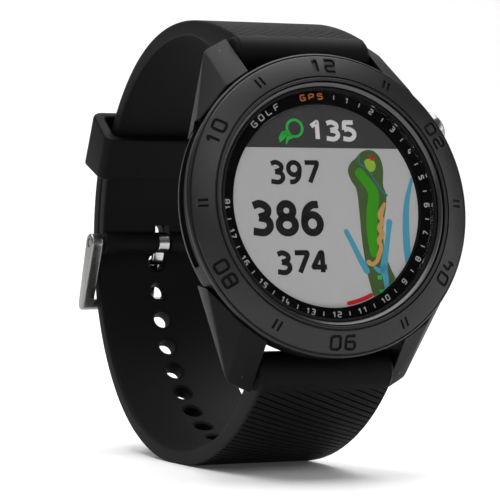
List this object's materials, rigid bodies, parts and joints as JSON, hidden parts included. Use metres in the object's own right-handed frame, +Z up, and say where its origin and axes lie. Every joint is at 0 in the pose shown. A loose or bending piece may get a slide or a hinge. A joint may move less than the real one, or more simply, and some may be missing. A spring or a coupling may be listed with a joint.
{
  "type": "golf gps watch",
  "caption": "Wrist watch for golf with a round sunlight-readable display, numbered bezel, side button and buckled silicone strap, standing on its strap.",
  "frame": {"origin": "middle of the box that the standing watch fills, at the surface under its strap", "axes": "+X to the 3 o'clock side, +Y from the dial towards the buckle, +Z up; the dial leans back 9.76 degrees"},
  "size_m": [0.046, 0.0784, 0.0704],
  "materials": {
    "coated_steel": "satin black coating with fine brushing",
    "black_polymer": "satin fibre-filled polymer",
    "silicone": "matte black silicone",
    "brushed_steel": "brushed",
    "polished_steel": "polished",
    "glass": "clear, polished",
    "printed_black": "printed satin black",
    "liquid_crystal": "transflective display",
    "diffuser": "white light guide",
    "seal_rubber": "black",
    "circuit_green": "solder mask",
    "tin_plate": "tinned",
    "battery_foil": "foil pouch",
    "gold_plate": "gold plated",
    "amber_film": "polyimide film"
  },
  "bodies": {
    "watch": {"button_seal": "seal_rubber", "button_sleeve": "brushed_steel", "button_spring": "brushed_steel", "side_switch": "black_polymer", "switch_bracket": "tin_plate", "mid_case": "black_polymer", "bezel": "coated_steel", "bezel_seal": "seal_rubber", "inner_ring": "printed_black", "lens_gasket": "seal_rubber", "lens": "glass", "chapter_ring": "printed_black", "display_panel": "liquid_crystal", "backlight": "diffuser", "display_flex": "amber_film", "display_holder": "black_polymer", "circuit_board": "circuit_green", "board_shield": "tin_plate", "battery": "battery_foil", "vibration_motor": "tin_plate", "gps_antenna": "gold_plate", "back_cover": "brushed_steel", "back_seal": "seal_rubber", "back_screw_1": "brushed_steel", "back_screw_2": "brushed_steel", "back_screw_3": "brushed_steel", "back_screw_4": "brushed_steel", "contact_block": "black_polymer", "contact_pin_1": "gold_plate", "contact_pin_2": "gold_plate", "contact_pin_3": "gold_plate", "contact_pin_4": "gold_plate", "end_hook_12": "brushed_steel", "latch_spring_12": "brushed_steel", "lug_bar_12": "brushed_steel", "end_hook_6": "brushed_steel", "latch_spring_6": "brushed_steel", "lug_bar_6": "brushed_steel", "strap_12": "silicone", "strap_6": "silicone"},
    "button": {"button_cap": "polished_steel", "button_stem": "brushed_steel", "button_clip": "brushed_steel"},
    "upper_latch": {"latch_12": "brushed_steel"},
    "lower_latch": {"latch_6": "brushed_steel"},
    "keeper_loop": {"keeper": "silicone"},
    "buckle": {"buckle_frame": "brushed_steel", "buckle_bar": "brushed_steel"},
    "tongue": {"buckle_tongue": "polished_steel"}
  },
  "joints": [
    {"name": "button_press", "type": "slide", "parent": "watch", "child": "button", "axis": [-0.848, -0.0898, -0.5222], "range_m": [0, 0.0005], "stiffness_N_per_m": 4000, "deforming": ["button_spring"]},
    {"name": "upper_latch_slide", "type": "slide", "parent": "watch", "child": "upper_latch", "axis": [0, 0.9464, 0.3229], "range_m": [0, 0.0015], "stiffness_N_per_m": 1000, "deforming": ["latch_spring_12"]},
    {"name": "lower_latch_slide", "type": "slide", "parent": "watch", "child": "lower_latch", "axis": [0, 0.6722, -0.7403], "range_m": [0, 0.0015], "stiffness_N_per_m": 1000, "deforming": ["latch_spring_6"]},
    {"name": "keeper_slide", "type": "hinge", "parent": "watch", "child": "keeper_loop", "pos_m": [0, 0.00104, 0.0353], "axis": [1, 0, 0], "range_deg": [-16.5, 5]},
    {"name": "buckle_swing", "type": "hinge", "parent": "watch", "child": "buckle", "pos_m": [0, 0.03244, 0.03499], "axis": [1, 0, 0], "range_deg": [0, 1.7]},
    {"name": "tongue_swing", "type": "hinge", "parent": "buckle", "child": "tongue", "pos_m": [0, 0.03244, 0.03499], "axis": [1, 0, 0], "range_deg": [0, 1.2]}
  ]
}
